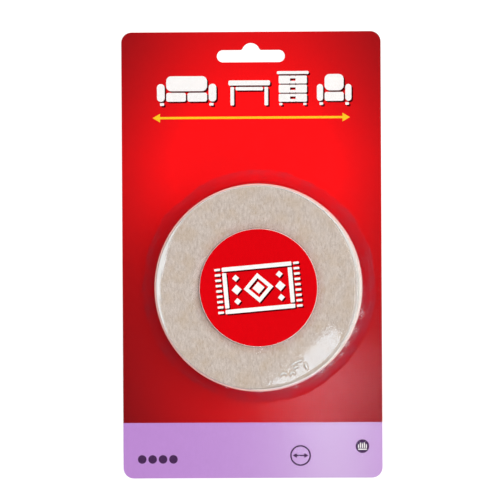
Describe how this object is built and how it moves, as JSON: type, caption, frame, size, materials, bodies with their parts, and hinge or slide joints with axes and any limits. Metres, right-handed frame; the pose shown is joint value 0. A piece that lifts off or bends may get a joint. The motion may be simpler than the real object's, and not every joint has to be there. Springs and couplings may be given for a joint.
{
  "type": "furniture slider pack",
  "caption": "Printed hang card with a stack of round furniture sliders, each a moulded glide dish with a felt pad, sealed under clear skin film with a round label.",
  "frame": {"origin": "middle of the card's back face, on the surface that the pack lies on", "axes": "+X across the card, +Y up the card towards the hang slot, +Z out of its printed face"},
  "size_m": [0.1142, 0.1968, 0.0253],
  "materials": {
    "card": "gloss",
    "dish": "satin",
    "bond": "matte",
    "pad": "matte",
    "label": "satin",
    "film": "gloss"
  },
  "bodies": {
    "root": {"hang_card": "card", "glide_dish_1": "dish", "bond_film_1": "bond", "felt_pad_1": "pad", "glide_dish_2": "dish", "bond_film_2": "bond", "felt_pad_2": "pad", "glide_dish_3": "dish", "bond_film_3": "bond", "felt_pad_3": "pad", "glide_dish_4": "dish", "bond_film_4": "bond", "felt_pad_4": "pad", "round_label": "label", "skin_film": "film"}
  },
  "joints": []
}
